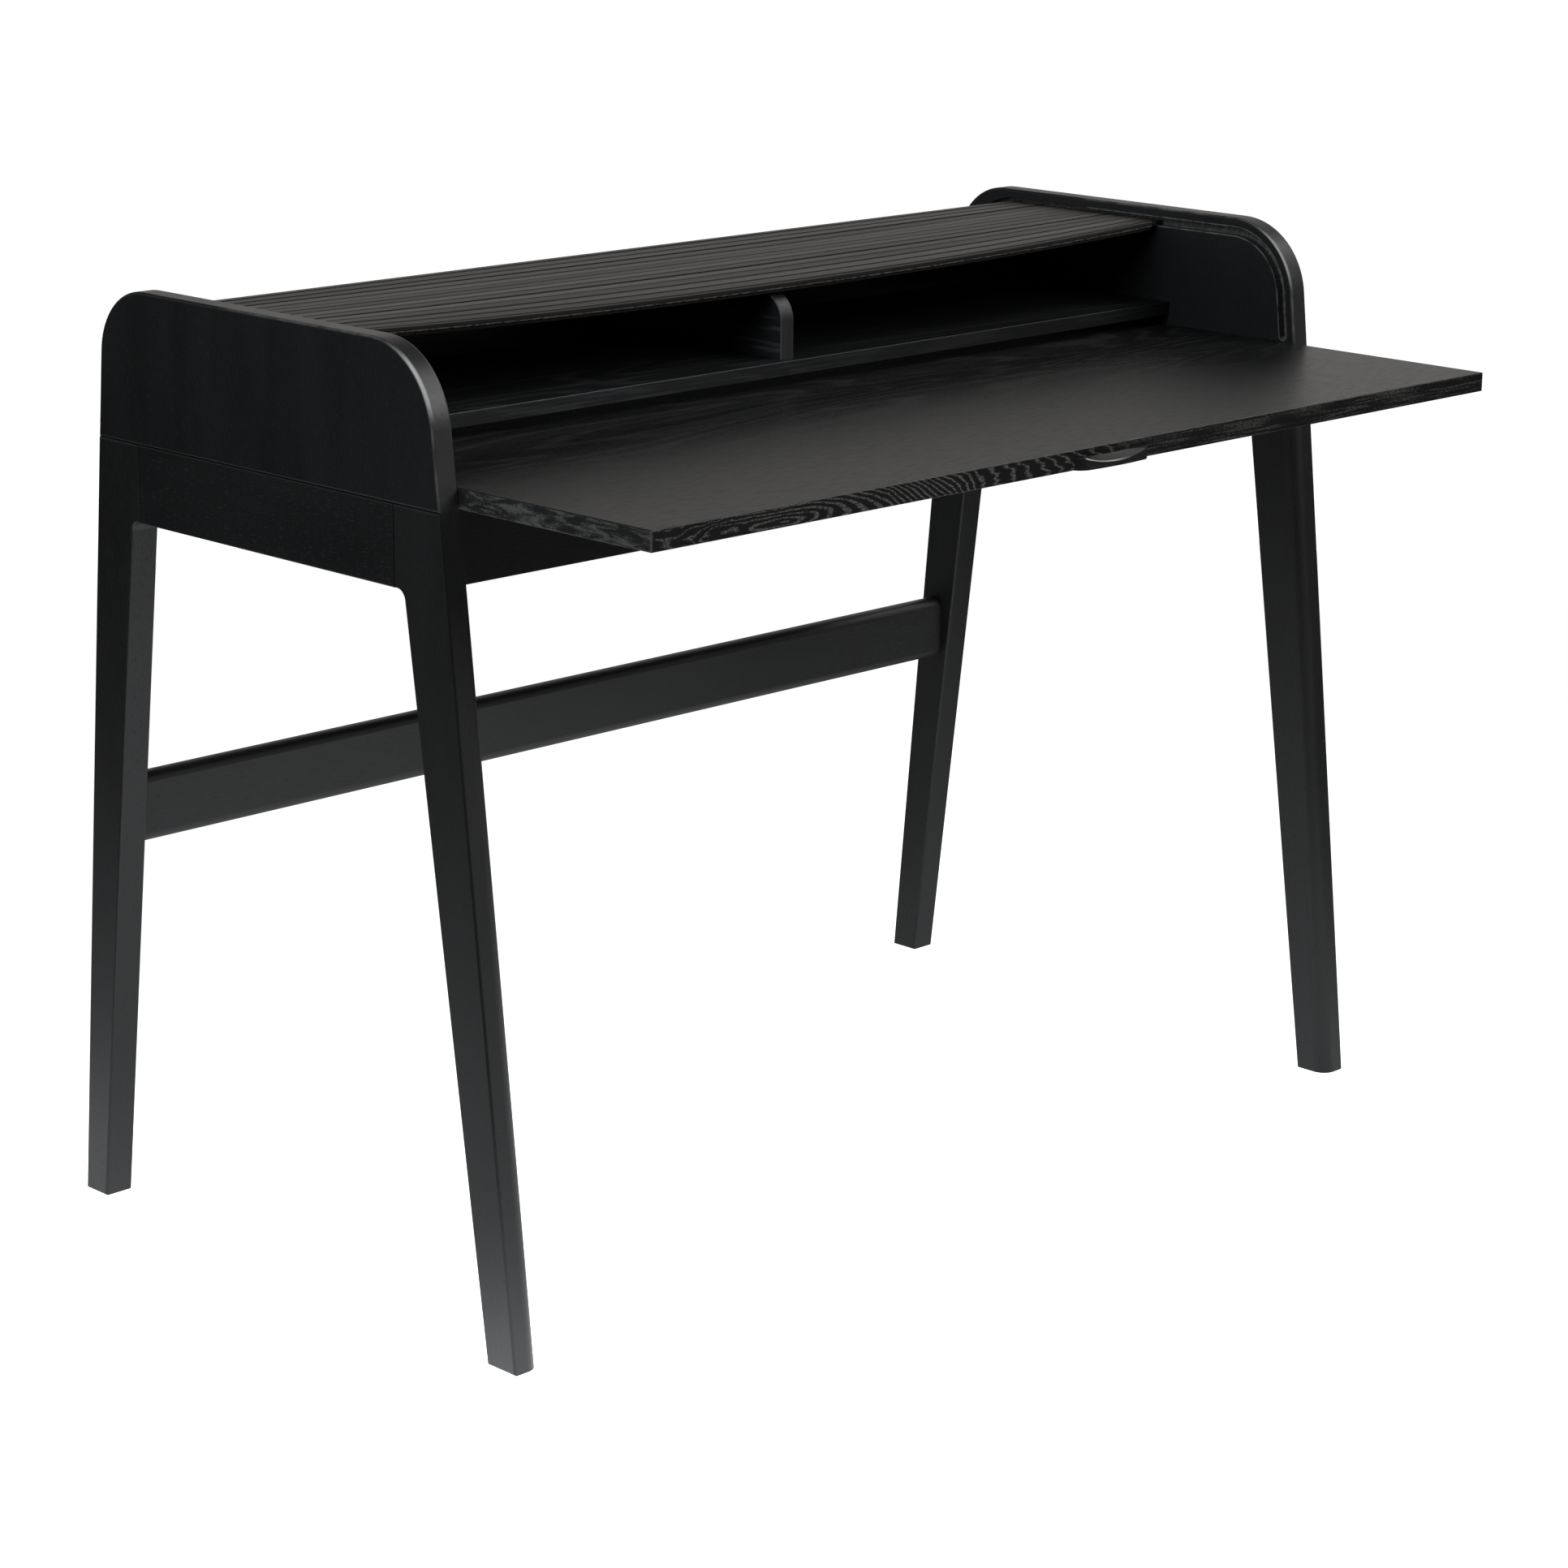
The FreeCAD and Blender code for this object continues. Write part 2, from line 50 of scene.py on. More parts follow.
front_lean = math.atan(0.1152)
corner_radius = 0.075
groove_inset = 0.01345
groove_half = 0.00415
groove_end = 0.0252
groove_centre = inner_face + 0.0055

# A step too narrow to see, for sharp limits in a finish and for picking edges.
hairline = 0.0001

# The worktop, and the dished top of its finger pull, which falls towards the front.
top_low, top_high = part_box("worktop")
pull_low, pull_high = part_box("worktop_pull")
pull_reach = 0.009
dish_fall = math.atan2(0.0048, pull_reach)
dish_height = 0.0094
dish_radius = 0.22

# The shutter: its flat slats, the rear bend, and how far the flat run hangs below the grooves.
slat_names = [f"tambour_slat_{number:02d}" for number in range(1, 12)]
lead_low, lead_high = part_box("tambour_lead_rail")
lead_chamfer = 0.003
slat_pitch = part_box(slat_names[1])[0].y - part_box(slat_names[0])[0].y
first_gap = (lead_high.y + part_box(slat_names[0])[0].y) / 2
bend_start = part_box(slat_names[-1])[1].y
bend_radius = 0.0663
bend_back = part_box("tambour_slat_20")[0].y - bend_radius
bend_height = lead_low.z - bend_radius
hang_depth = 0.0036
hang_run = 0.05
tip_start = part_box(slat_names[4])[0].y
tip_slope = 0.06325
tip_curve = 0.345
tip_power = 2.5
shoulder = inner_face - 0.0006
tongue = 0.005
# The colour painted into the shutter's gaps: painted shade with some dirt.
gap_shade_and_dirt = (0.0030, 0.0029, 0.0027)


def tip(y):
    """How far the shutter's front slats hang at mid-width, beyond the hang of the rest."""
    ahead = max(tip_start - y, 0.0)
    return tip_slope * ahead + tip_curve * ahead * ahead


class Shade:
    """A socket of a finish. Arithmetic on it adds Math nodes to that finish."""

    def __init__(self, socket):
        self.socket = socket

    def node(self, kind, settings=None, inputs=None, out=0):
        """Adds a node to the same finish, sets it up, fills its inputs and returns one output."""
        tree = self.socket.id_data
        node = tree.nodes.new(kind)
        for name, value in (settings or {}).items():
            setattr(node, name, value)
        for name, value in (inputs or {}).items():
            if isinstance(value, Shade):
                tree.links.new(value.socket, node.inputs[name])
            else:
                node.inputs[name].default_value = value
        return Shade(node.outputs[out])

    def math(self, operation, first, second=0.0):
        return self.node("ShaderNodeMath", {"operation": operation}, {0: first, 1: second})

    def __add__(self, other):
        return self.math("ADD", self, other)

    def __radd__(self, other):
        return self.math("ADD", other, self)

    def __sub__(self, other):
        return self.math("SUBTRACT", self, other)

    def __rsub__(self, other):
        return self.math("SUBTRACT", other, self)

    def __mul__(self, other):
        return self.math("MULTIPLY", self, other)

    def __rmul__(self, other):
        return self.math("MULTIPLY", other, self)

    def __truediv__(self, other):
        return self.math("DIVIDE", self, other)

    def __abs__(self):
        return self.math("ABSOLUTE", self)


def stretch(place, x, y, z):
    """The same place with each axis scaled, so that a pattern runs along the grain."""
    return place.node("ShaderNodeMapping", {}, {"Vector": place, "Scale": (x, y, z)})


def noise(place, scale=1.0, detail=3.0, roughness=0.5, warp=0.0):
    sockets = {"Vector": place, "Scale": scale, "Detail": detail, "Roughness": roughness}
    sockets["Distortion"] = warp
    return place.node("ShaderNodeTexNoise", {}, sockets)


def axis(place, name):
    return place.node("ShaderNodeSeparateXYZ", {}, {0: place}, name)


def axes(place):
    return [axis(place, name) for name in "XYZ"]


def rise(value, low, high):
    """0 below low, 1 above high, smooth between them. With low above high it falls instead."""
    sockets = {"Value": value, "From Min": low, "From Max": high}
    return value.node("ShaderNodeMapRange", {"interpolation_type": "SMOOTHSTEP"}, sockets)


def tint(mask, first, second):
    """The first colour where the mask is 0 and the second where it is 1."""
    first_socket, second_socket, colour_output = 6, 7, 2
    sockets = {0: mask}
    for number, colour in ((first_socket, first), (second_socket, second)):
        sockets[number] = colour if isinstance(colour, Shade) else (*colour, 1.0)
    return mask.node("ShaderNodeMix", {"data_type": "RGBA"}, sockets, colour_output)


def dust(place, scale, radius, share):
    """Sparse round specks, on a share of the cells."""
    cell = {"Vector": place, "Scale": scale, "Randomness": 1.0}
    near = place.node("ShaderNodeTexVoronoi", {}, cell, "Distance")
    chance = place.node("ShaderNodeTexVoronoi", {}, cell, "Color")
    picked = rise(axis(chance, "X"), 1.0 - share, 1.0 - share + 0.01)
    return picked * rise(near, radius * scale, 0.4 * radius * scale)


def coat(look, **constants):
    """A surface from a look, which gives a place its colour, roughness, bump height and bump depth."""

    def surface(place):
        colour, roughness, height, depth = look(place)
        relief = {"Strength": 1.0, "Distance": depth, "Height": height}
        sockets = {name.replace("_", " "): value for name, value in constants.items()}
        sockets["Base Color"] = colour
        sockets["Roughness"] = roughness
        sockets["Normal"] = place.node("ShaderNodeBump", {}, relief)
        return place.node("ShaderNodeBsdfPrincipled", {}, sockets)

    return surface


def joined(mask, first, second):
    """The first surface where the mask is 0 and the second where it is 1."""

    def surface(place):
        return place.node("ShaderNodeMixShader", {}, {0: mask(place), 1: first(place), 2: second(place)})

    return surface


def finish(name, surface):
    """A material whose surface is worked out from Object coordinates."""
    material = bpy.data.materials.new(name)
    material.use_nodes = True
    tree = material.node_tree
    tree.nodes.remove(tree.nodes["Principled BSDF"])
    place = Shade(tree.nodes.new("ShaderNodeTexCoord").outputs["Object"])
    tree.links.new(surface(place).socket, tree.nodes["Material Output"].inputs["Surface"])
    return material


def along(grain, length, width):
    """Scales for a pattern that is long along one axis and fine across it."""
    return tuple(length if name == grain else width for name in "xyz")


def lacquered(grain, dark, light, gloss, pores=0.25):
    """Black lacquer over a smooth timber: soft clouds, a faint grain and short open pores."""

    def look(place):
        clouds = noise(stretch(place, *along(grain, 5.0, 22.0)), detail=2.0)
        fibre = noise(stretch(place, *along(grain, 14.0, 700.0)), detail=3.0, roughness=0.6)
        flecks = rise(noise(stretch(place, *along(grain, 110.0, 900.0)), detail=1.0), 0.64, 0.72)
        specks = dust(place, 55.0, 0.00045, 0.12)
        tone = rise(clouds, 0.3, 0.7) * 0.6 + fibre * 0.4
        colour = tint(specks * 0.5, tint(tone, dark, light), (0.12, 0.12, 0.115))
        roughness = gloss + (clouds - 0.5) * 0.12 + flecks * 0.1 + specks * 0.2
        height = fibre * 0.35 - flecks * pores * 4.0
        depth = 0.00006
        return colour, roughness, height, depth

    return look


def panel_inset(place):
    """How far a place on a side panel is in from its outline, and how far it is from the groove's walls."""
    y, z = axis(place, "Y"), axis(place, "Z")
    back, up = y - panel_low.y, z - panel_low.z
    sine, cosine = math.sin(front_lean), math.cos(front_lean)
    from_front = back * cosine - up * sine
    up_front = back * sine + up * cosine
    from_top = panel_high.z - z
    centre_up = panel_high.z - panel_low.z - corner_radius
    centre_back = (corner_radius + centre_up * sine) / cosine
    centre_along = centre_back * sine + centre_up * cosine

    def distance(across, upward):
        return place.math("SQRT", across * across + upward * upward)

    before_centre = rise(back, centre_back, centre_back - hairline)
    in_corner = before_centre * rise(up_front, centre_along, centre_along + hairline)
    straight = place.math("MINIMUM", from_front, from_top)
    curved = corner_radius - distance(back - centre_back, up - centre_up)
    inset = straight + (curved - straight) * in_corner
    beside = abs(abs(inset - groove_inset) - groove_half)
    round_end = abs(distance(from_front - groove_inset, up_front - groove_end) - groove_half)
    below_end = rise(up_front, groove_end, groove_end - hairline)
    return inset, beside + (round_end - beside) * below_end


def panel_wear_and_light(place):
    """Where the side panels are rubbed, or carry painted light and a painted highlight, mostly apart from
    the rear: one mask for each.
    """
    x, y, z = axes(place)
    inset, from_wall = panel_inset(place)
    ahead = rise(y, 0.14, 0.12)
    on_inner = rise(abs(x), inner_face + 0.001, inner_face + 0.0004)
    groove_edge = rise(from_wall, 0.0013, 0.0005) * on_inner
    from_middle = abs(abs(x) - panel_middle)
    arris = rise(inset, 0.0022, 0.0008) * rise(from_middle, half_panel - 0.0023, half_panel - 0.0007)
    # A painted highlight on the left arris of each front curve, narrower on the right panel.
    width = 0.0042 - rise(x, 0.0, 0.1) * 0.0024
    from_left_arris = abs(abs(x + half_panel) - panel_middle)
    left_arris = rise(from_left_arris, width, width * 0.3) * rise(inset, 0.0026, 0.0008)
    low_fade = rise(z, panel_high.z - 0.065, panel_high.z - 0.040)
    high_fade = rise(z, panel_high.z - 0.003, panel_high.z - 0.022)
    painted_glint = left_arris * low_fade * high_fade
    # Painted light on the groove's floor, where little light reaches.
    between_walls = rise(abs(inset - groove_inset), groove_half + 0.0002, groove_half - 0.0004)
    groove_painted_light = rise(abs(abs(x) - groove_centre), 0.0048, 0.0042) * between_walls
    # Painted light on the front edge, where the worktop shades it.
    front = rise(inset, 0.0014, 0.0006)
    return groove_edge * ahead, arris * ahead, painted_glint, groove_painted_light, front * ahead


panel_lacquer = lacquered("z", (0.0078, 0.0081, 0.0086), (0.0118, 0.0122, 0.0128), 0.4)


def panel_look(place):
    """The side panels: black lacquer, rubbed through a little along the groove and the front arrises, with
    painted light on the inner face, the front edge and in the groove, and a painted highlight on the left
    arris.
    """
    colour, roughness, height, depth = panel_lacquer(place)
    groove_edge, arris, painted_glint, groove_painted_light, front = panel_wear_and_light(place)
    inner = rise(abs(axis(place, "X")), inner_face + 0.0007, inner_face + 0.0001)
    rubbed = rise(noise(place, 70.0, 3.0), 0.2, 0.75)
    groove_light_patches = rise(noise(place, 240.0, 3.0), 0.45, 0.7)
    # Painted light makes the inner face lighter and bluer.
    colour = tint(inner * 0.5, colour, (0.0230, 0.0245, 0.0265))
    # Painted light makes the front edge lighter.
    colour = tint(front * 0.5, colour, (0.0270, 0.0260, 0.0245))
    # Painted light on the groove's floor, in patches.
    colour = tint(groove_painted_light * (0.45 + groove_light_patches * 0.5), colour, (0.19, 0.185, 0.172))
    colour = tint(arris * rubbed * 0.55, colour, (0.24, 0.24, 0.235))
    # A painted highlight on the left arris.
    colour = tint(painted_glint * 0.9, colour, (0.62, 0.62, 0.60))
    colour = tint(groove_edge * rubbed, colour, (0.30, 0.30, 0.29))
    return colour, roughness, height, depth


# The rings on the worktop's front edge: their width, the height of their centre, and the runs along the
# edge over which that centre sinks into the wood, each with its start, length and rate.
ring_width = 0.00273182
ring_centre = top_low.z + 0.0045
flame_start = -0.385
ring_runs = ((flame_start, 0.115, 0.17), (-0.27, 0.105, 0.36), (-0.165, 0.2, 0.15))


def edge_rings(place):
    """Growth rings on the worktop's front edge, from the left: flames, arcs, steep stripes, zigzags."""
    x = axis(place, "X")
    up = axis(place, "Z") - ring_centre
    depth = place.math("MINIMUM", x - flame_start, 0.0) * 0.07
    for start, length, rate in ring_runs:
        depth = depth + place.math("MINIMUM", place.math("MAXIMUM", x - start, 0.0), length) * rate
    leaning = depth + up * (rise(x, -0.34, -0.24) - rise(x, -0.22, -0.15) * 0.9) * 0.5
    wander = noise(stretch(place, 26.0, 26.0, 70.0), detail=2.0, roughness=0.5) - 0.5
    wander = wander * (1.0 + rise(x, -0.40, -0.47) * 2.2)
    zigzag = (noise(stretch(place, 25.0, 25.0, 260.0), detail=1.0) - 0.5) * rise(x, -0.22, -0.14)
    ring = place.math("SQRT", up * up + leaning * leaning) + wander * 0.0042 + zigzag * 0.0028
    fewer = rise(x, -0.22, -0.12) * 0.3 + rise(x, -0.41, -0.47) * 0.3
    return place.math("SINE", ring * (2.0 * math.pi / ring_width)) - fewer


def worktop_edge(place):
    """1 on the worktop's edges and underside, 0 on its face."""
    return rise(axis(place, "Z"), top_high.z - 0.0004, top_high.z - 0.0011)


def worktop_face_look(place):
    """Black-stained ash: fine pores and faint rings that show towards the back."""
    y = axis(place, "Y")
    fibre = noise(stretch(place, 26.0, 900.0, 900.0), detail=4.0, roughness=0.65)
    pores = rise(noise(stretch(place, 48.0, 430.0, 430.0), detail=3.0, roughness=0.6), 0.42, 0.66)
    board = noise(stretch(place, 1.5, 8.0, 8.0), detail=2.0, roughness=0.45, warp=0.3)
    rings = rise(place.math("SINE", board * 125.0), 0.1, 0.95)
    figure = rings * rise(fibre, 0.42, 0.6) * rise(y, -0.22, -0.08)
    specks = place.math("MAXIMUM", dust(place, 48.0, 0.0005, 0.2), dust(place, 21.0, 0.0010, 0.12))
    colour = tint(pores, (0.0082, 0.0085, 0.0086), (0.0022, 0.0022, 0.0022))
    colour = tint(figure * 0.7, colour, (0.0300, 0.0300, 0.0290))
    colour = tint(specks * 0.7, colour, (0.34, 0.33, 0.30))
    roughness = 0.35 + pores * 0.05 + figure * 0.05 + specks * 0.2
    height = fibre * 0.25 - pores * 0.5 - figure * 0.3
    depth = 0.00006
    return colour, roughness, height, depth


def worktop_edge_look(place):
    """The worktop's banded edges: strong speckled rings, blotches on the sides and light rubbed arrises."""
    x, y, z = axes(place)
    side = rise(abs(x), top_high.x - 0.0007, top_high.x - 0.0003)
    speckle = noise(stretch(place, 420.0, 420.0, 900.0), detail=2.0, roughness=0.7)
    streak = noise(stretch(place, 14.0, 14.0, 420.0), detail=3.0, roughness=0.55)
    rings = rise(edge_rings(place) + (speckle - 0.5) * 1.4, 0.05, 0.85)
    streaks = rise(streak + (speckle - 0.5) * 0.35, 0.47, 0.64) * 0.4
    figure = rings + (streaks - rings) * rise(x, -0.03, 0.05)
    figure = figure * rise(speckle, 0.32, 0.6)
    blotch = noise(stretch(place, 30.0, 34.0, 150.0), detail=5.0, roughness=0.66, warp=0.6)
    blotch = rise(blotch + speckle * 0.3, 0.58, 0.80)
    front = tint(figure, (0.0062, 0.0064, 0.0062), (0.128, 0.128, 0.120))
    end = tint(blotch, (0.020, 0.0205, 0.021), (0.135, 0.134, 0.130))
    lower_rub = rise(z, top_low.z + 0.0012, top_low.z + 0.0005) * rise(noise(place, 200.0, 2.0), 0.3, 0.6)
    upper_arris = rise(z, top_high.z - 0.0014, top_high.z - 0.0008)
    upper_rub = upper_arris * rise(noise(place, 120.0, 2.0), 0.42, 0.62)
    corner = rise(abs(x), top_high.x - 0.0015, top_high.x - 0.0007)
    corner = corner * rise(y, top_low.y + 0.0018, top_low.y + 0.0010)
    rubbed = lower_rub * side * 0.75 + upper_rub * 0.3 + corner * 0.6
    colour = tint(rubbed, tint(side, front, end), (0.17, 0.158, 0.14))
    roughness = 0.46 + figure * 0.14
    height = figure * -0.8
    depth = 0.00005
    return colour, roughness, height, depth


pull_lacquer = lacquered("x", (0.0105, 0.0107, 0.0107), (0.0165, 0.0165, 0.0162), 0.36)


def pull_look(place):
    """The finger pull: smooth black, with a painted highlight along the left half of its rim."""
    colour, roughness, height, depth = pull_lacquer(place)
    x, y, z = axes(place)
    out, up = pull_high.y - y, z - (pull_low.z + dish_height)
    from_axis = (out * math.sin(dish_fall) + up * math.cos(dish_fall)) - dish_radius
    from_dish = abs(dish_radius - place.math("SQRT", from_axis * from_axis + x * x))
    across = abs(x) / pull_high.x
    from_outline = (1.0 - across * across * across * across * across) * pull_reach - out
    # A painted highlight along the left half of the rim.
    painted_rim_glint = rise(from_dish, 0.0006, 0.0002) * rise(from_outline, 0.0014, 0.0005) * rise(x, 0.022, -0.012)
    return tint(painted_rim_glint, colour, (0.50, 0.48, 0.44)), roughness, height, depth


def slat_look(place):
    """Brown-black timber with straight grain, no two slats of quite the same tone."""
    slat_tone = noise(stretch(place, 1.3, 58.0, 58.0), detail=1.0)
    fibre = noise(stretch(place, 7.0, 1300.0, 1300.0), detail=4.0, roughness=0.65)
    streak = noise(stretch(place, 2.0, 330.0, 330.0), detail=2.0)
    specks = dust(place, 60.0, 0.0004, 0.15)
    tone = rise(slat_tone, 0.25, 0.75) * 0.45 + fibre * 0.35 + streak * 0.3
    colour = tint(rise(tone, 0.25, 0.85), (0.0390, 0.0357, 0.0322), (0.088, 0.0812, 0.0740))
    colour = tint(specks * 0.6, colour, (0.2, 0.19, 0.17))
    roughness = 0.5 + fibre * 0.14 - slat_tone * 0.1 + specks * 0.15
    height = fibre * 0.6 + streak * 0.5
    depth = 0.00009
    return colour, roughness, height, depth


def along_shutter(place):
    """Length along the shutter: back over the flat, round the rear bend, then down."""
    y, z = axis(place, "Y"), axis(place, "Z")
    turn = place.math("ARCTAN2", y - bend_back, z - bend_height)
    turn = place.math("MINIMUM", place.math("MAXIMUM", turn, 0.0), math.pi / 2)
    down = place.math("MAXIMUM", bend_height - z, 0.0)
    return place.math("MINIMUM", y, bend_back) + turn * bend_radius + down


def tail_look(place):
    """The slats of the rear bend: painted shade, with some dirt, in every gap."""
    colour, roughness, height, depth = slat_look(place)
    from_gap = place.math("PINGPONG", along_shutter(place) - first_gap, slat_pitch / 2)
    # Painted shade, with some dirt, along every gap.
    shade_and_dirt = rise(from_gap, 0.0028, 0.0011) * 0.75
    return tint(shade_and_dirt, colour, gap_shade_and_dirt), roughness + shade_and_dirt * 0.35, height, depth


# How dark the painted shade and dirt is in each line across the flat slats, from one on the lead rail to
# the rearmost.
gap_strengths = (0.9, 0.9, 0.75, 0.5, 1.0, 0.6, 0.35, 0.3, 0.5, 0.6, 0.9, 0.75, 0.8)


def shutter_look(place):
    """The flat slats: painted shade with some dirt in the gaps, some nearly closed, and painted shade
    darkening the nose, which has a frayed lower edge.
    """
    colour, roughness, height, depth = slat_look(place)
    x, y, z = axes(place)
    # Painted shade on the lead rail's nose, then painted shade with some dirt along each gap line.
    shade_and_dirt = rise(y, lead_low.y + 0.0024, lead_low.y + 0.0009)
    for number, strength in enumerate(gap_strengths, -1):
        reach = 0.0042 if strength == 1.0 else 0.0028
        line = rise(abs(y - (first_gap + number * slat_pitch)), reach, 0.4 * reach) * strength
        shade_and_dirt = place.math("MAXIMUM", shade_and_dirt, line)
    out = abs(x) / inner_face
    tipped = tip(lead_low.y) * (1.0 - place.math("POWER", out, tip_power))
    hung = hang_depth * (1.0 - out * out) + tipped
    above_edge = z + hung - lead_low.z - lead_chamfer
    frayed = rise(above_edge, 0.0011, 0.0004) * rise(y, lead_low.y + 0.0015, lead_low.y + 0.0005)
    frayed = frayed * rise(noise(stretch(place, 160.0, 900.0, 900.0), detail=3.0), 0.35, 0.6)
    colour = tint(shade_and_dirt, colour, gap_shade_and_dirt)
    return tint(frayed * 0.8, colour, (0.15, 0.14, 0.125)), roughness + shade_and_dirt * 0.35, height, depth


def apron_look(place):
    """Dull black veneer with short dashes of open grain along its length."""
    fibre = noise(stretch(place, 22.0, 800.0, 800.0), detail=3.0, roughness=0.6)
    dashes = rise(noise(stretch(place, 95.0, 780.0, 780.0), detail=2.0), 0.55, 0.68)
    clouds = noise(stretch(place, 4.0, 20.0, 20.0), detail=2.0)
    colour = tint(dashes * 0.8 + clouds * 0.2, (0.0034, 0.0036, 0.0036), (0.0100, 0.0098, 0.0092))
    roughness = 0.5 + fibre * 0.1 + dashes * 0.12
    height = fibre * 0.35 - dashes
    depth = 0.00007
    return colour, roughness, height, depth


def shelf_look(place):
    """Black-stained ash with a fine straight figure, light rubbed lines at the front arris and ends, and
    painted shade darkening it towards the right.
    """
    x, y, z = axes(place)
    low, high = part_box("shelf")
    fibre = noise(stretch(place, 12.0, 600.0, 600.0), detail=4.0, roughness=0.65)
    board = noise(stretch(place, 1.2, 10.0, 10.0), detail=2.0, roughness=0.4, warp=0.25)
    figure = rise(board.math("SINE", board * 150.0), 0.0, 0.9) * rise(fibre, 0.4, 0.6)
    streaks = rise(noise(stretch(place, 7.0, 7.0, 520.0), detail=2.0), 0.5, 0.68)
    streaks = streaks * rise(y, low.y + 0.002, low.y + 0.001)
    specks = dust(place, 50.0, 0.00055, 0.18)
    rubbed = rise(noise(place, 90.0, 3.0), 0.35, 0.65)
    arris = rise(z, high.z - 0.0010, high.z - 0.0003) * rise(y, low.y + 0.0014, low.y + 0.0006)
    end = rise(abs(x), high.x - 0.0016, high.x - 0.0006) * rise(y, high.y - 0.07, high.y - 0.09)
    rubbed = (arris * rise(x, 0.0, -0.45) * 0.35 + end * 0.6) * rubbed
    colour = tint(figure * 0.7 + fibre * 0.15, (0.0066, 0.0072, 0.0078), (0.024, 0.0248, 0.0258))
    colour = tint(streaks * 0.5, colour, (0.040, 0.043, 0.048))
    colour = tint(rubbed, colour, (0.15, 0.135, 0.11))
    # Painted shade: darker towards the right end.
    colour = tint(rise(x, -0.3, 0.3) * 0.8, colour, (0.0030, 0.0034, 0.0040))
    colour = tint(specks * 0.6, colour, (0.16, 0.155, 0.145))
    roughness = 0.42 + figure * 0.12 + specks * 0.2
    height = fibre * 0.4 - figure * 0.6
    depth = 0.00006
    return colour, roughness, height, depth


divider_lacquer = lacquered("y", (0.0160, 0.0168, 0.0175), (0.0250, 0.0262, 0.0272), 0.46)


def divider_look(place):
    """The divider: blue-black with streaks on its sides, light lines along its front arrises."""
    colour, roughness, height, depth = divider_lacquer(place)
    low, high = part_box("shelf_divider")
    from_middle = abs(axis(place, "X") - (low.x + high.x) / 2)
    half = (high.x - low.x) / 2
    streaks = rise(noise(stretch(place, 200.0, 9.0, 230.0), detail=2.0), 0.53, 0.66)
    upright = rise(noise(stretch(place, 620.0, 620.0, 12.0), detail=2.0), 0.40, 0.62)
    side = rise(from_middle, half - 0.0004, half - 0.0001)
    arris = rise(abs(from_middle - (half - 0.0004)), 0.0009, 0.0003) * (1.0 - side)
    colour = tint(side * streaks, colour, (0.060, 0.070, 0.080))
    colour = tint((1.0 - side) * upright * 0.7, colour, (0.0090, 0.0090, 0.0088))
    return tint(arris * 0.6, colour, (0.15, 0.15, 0.145)), roughness, height, depth


def runner_look(place):
    """Sanded hardwood under a thin black wash."""
    fibre = noise(stretch(place, 700.0, 14.0, 700.0), detail=3.0, roughness=0.6)
    wash = noise(stretch(place, 40.0, 9.0, 40.0), detail=3.0)
    tone = rise(fibre * 0.6 + wash * 0.4, 0.35, 0.7)
    colour = tint(tone, (0.012, 0.0115, 0.011), (0.04, 0.036, 0.031))
    roughness = 0.55 + wash * 0.15
    depth = 0.00007
    return colour, roughness, fibre, depth


def dowel_look(place):
    """Pale fluted hardwood, darker where glue has soaked in."""
    fibre = noise(place, 420.0, 3.0, 0.6)
    glue = noise(place, 60.0, 2.0)
    colour = tint(rise(fibre * 0.7 + glue * 0.3, 0.35, 0.68), (0.33, 0.2, 0.1), (0.56, 0.4, 0.24))
    roughness = 0.6 + glue * 0.15
    depth = 0.00008
    return colour, roughness, fibre, depth


def screw_look(place):
    """Dark plated steel with fine turning marks and rubbed high spots."""
    marks = noise(place, 1500.0, 2.0)
    rub = rise(noise(place, 240.0, 3.0), 0.5, 0.7)
    colour = tint(rub, (0.09, 0.09, 0.092), (0.3, 0.3, 0.3))
    roughness = 0.32 + marks * 0.16 - rub * 0.06
    depth = 0.00002
    return colour, roughness, marks, depth


def canvas_look(place):
    """Black cotton canvas: a plain weave of about a thread a millimetre."""
    two_threads = 0.0018
    turn = 2.0 * math.pi / two_threads
    weft = place.math("SINE", axis(place, "X") * turn)
    warp = place.math("SINE", axis(place, "Y") * turn)
    weave = weft * warp
    slub = noise(stretch(place, 60.0, 700.0, 60.0), detail=2.0)
    colour = tint(rise(weave * 0.5 + slub, 0.1, 1.0), (0.006, 0.006, 0.0062), (0.03, 0.029, 0.028))
    roughness = 0.86 + slub * 0.1
    height = weave * 0.5 + slub * 0.6
    depth = 0.00025
    return colour, roughness, height, depth


leg_look = lacquered("z", (0.0068, 0.0070, 0.0074), (0.0112, 0.0114, 0.0118), 0.43, 0.4)
rail_look = lacquered("y", (0.0056, 0.0059, 0.0064), (0.0094, 0.0097, 0.0103), 0.42)
stretcher_look = lacquered("x", (0.0115, 0.0117, 0.0120), (0.0175, 0.0177, 0.0180), 0.45, 0.4)
back_board_look = lacquered("x", (0.0050, 0.0051, 0.0053), (0.0085, 0.0086, 0.0088), 0.5)
worktop_face = coat(worktop_face_look, Specular_IOR_Level=0.32)
worktop_band = coat(worktop_edge_look, Specular_IOR_Level=0.2)

tail_brown = finish("tail_brown", coat(tail_look, Specular_IOR_Level=0.25))
shutter_brown = finish("shutter_brown", coat(shutter_look, Specular_IOR_Level=0.25))
runner_wash = finish("runner_wash", coat(runner_look))
canvas_black = finish("canvas_black", coat(canvas_look))

